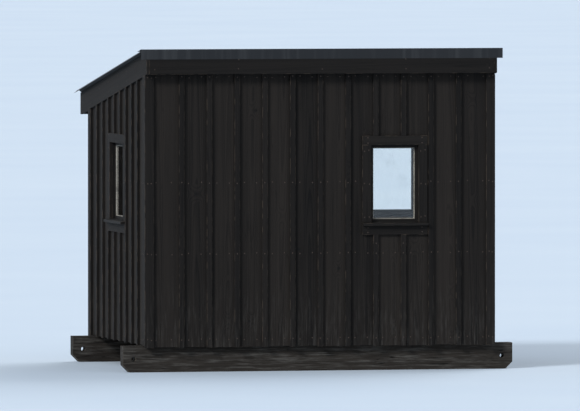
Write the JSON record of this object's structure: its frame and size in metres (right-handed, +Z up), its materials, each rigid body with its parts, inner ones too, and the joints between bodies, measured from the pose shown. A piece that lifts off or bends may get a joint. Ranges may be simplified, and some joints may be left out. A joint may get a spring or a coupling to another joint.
{
  "type": "ice fishing hut",
  "caption": "Shed-roofed ice fishing hut of dark boards and battens on two timber skids, with small windows, a ledged door in the right end and fishing holes through its floor.",
  "frame": {"origin": "at the height of the skids' soles, under the middle of the roof", "axes": "+X along the hut's length towards the end with the door, -Y out of the high front wall, +Z up"},
  "size_m": [2.8, 2.2486, 2.2575],
  "materials": {
    "wall_boards": "near-black stain",
    "trim_boards": "near-black stain",
    "skid_timber": "dark, weathered",
    "framing_timber": "bare, aged",
    "joinery": "near-black stain",
    "glass": "clear",
    "roof_steel": "satin charcoal",
    "ironmongery": "black japanned"
  },
  "bodies": {
    "root": {"battens": "trim_boards", "door_handle": "ironmongery", "door_head_and_threshold": "joinery", "door_hinges": "ironmongery", "door_jambs": "joinery", "door_leaf": "wall_boards", "door_ledges": "framing_timber", "fascia_boards": "trim_boards", "floor_deck": "framing_timber", "floor_joists": "framing_timber", "floor_rims": "framing_timber", "front_and_rear_corner_boards": "trim_boards", "front_skid": "skid_timber", "front_wall": "wall_boards", "front_wall_plates": "framing_timber", "front_wall_studs": "framing_timber", "front_window_glass": "glass", "front_window_sash": "joinery", "head_casings_and_aprons": "trim_boards", "headers_and_rough_sills": "framing_timber", "left_wall": "wall_boards", "left_wall_plates": "framing_timber", "left_wall_studs": "framing_timber", "left_window_glass": "glass", "left_window_sash": "joinery", "rafter_blocks": "framing_timber", "rafters": "framing_timber", "rake_boards": "trim_boards", "rear_skid": "skid_timber", "rear_wall": "wall_boards", "rear_wall_plates": "framing_timber", "rear_wall_studs": "framing_timber", "rear_window_glass": "glass", "rear_window_sash": "joinery", "right_wall": "wall_boards", "right_wall_plates": "framing_timber", "right_wall_studs": "framing_timber", "roof_deck": "framing_timber", "roof_flashing": "roof_steel", "roof_sheets": "roof_steel", "side_casings": "trim_boards", "side_corner_boards": "trim_boards", "wall_girts": "framing_timber", "window_heads": "joinery", "window_jambs": "joinery", "window_sills": "joinery"}
  },
  "joints": []
}
